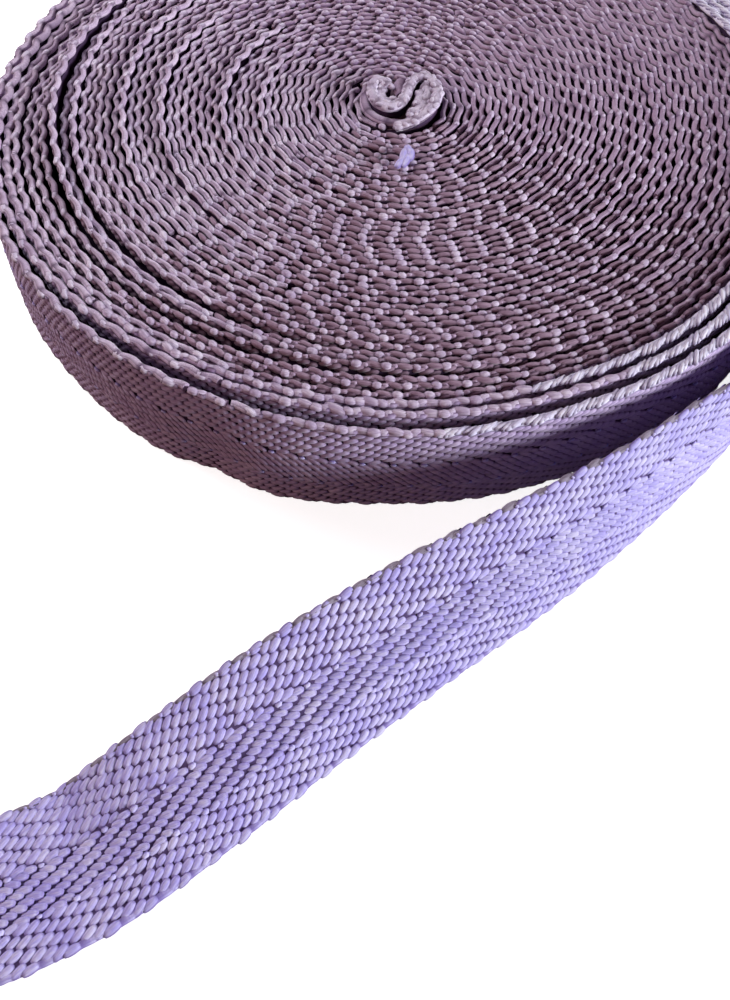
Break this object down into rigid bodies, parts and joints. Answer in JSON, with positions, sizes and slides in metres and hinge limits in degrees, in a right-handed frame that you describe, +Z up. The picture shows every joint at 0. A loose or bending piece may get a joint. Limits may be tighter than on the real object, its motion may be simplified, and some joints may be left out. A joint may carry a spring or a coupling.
{
  "type": "roll of webbing",
  "caption": "Flat woven herringbone webbing wound edge up into a low disc, its last turn led off as a loose end that twists over and lies down flat.",
  "frame": {"origin": "the roll's axis on its underside, where it rests on the surface", "axes": "+Z up along the roll's axis, +X to the right and +Y to the back as seen from the side on which the loose end lies"},
  "size_m": [0.1883, 0.2701, 0.0284],
  "materials": {
    "webbing": "matt lilac cotton, heavy herringbone weave, scalloped selvedges"
  },
  "bodies": {
    "root": {"roll": "webbing", "loose_end": "webbing"}
  },
  "joints": []
}
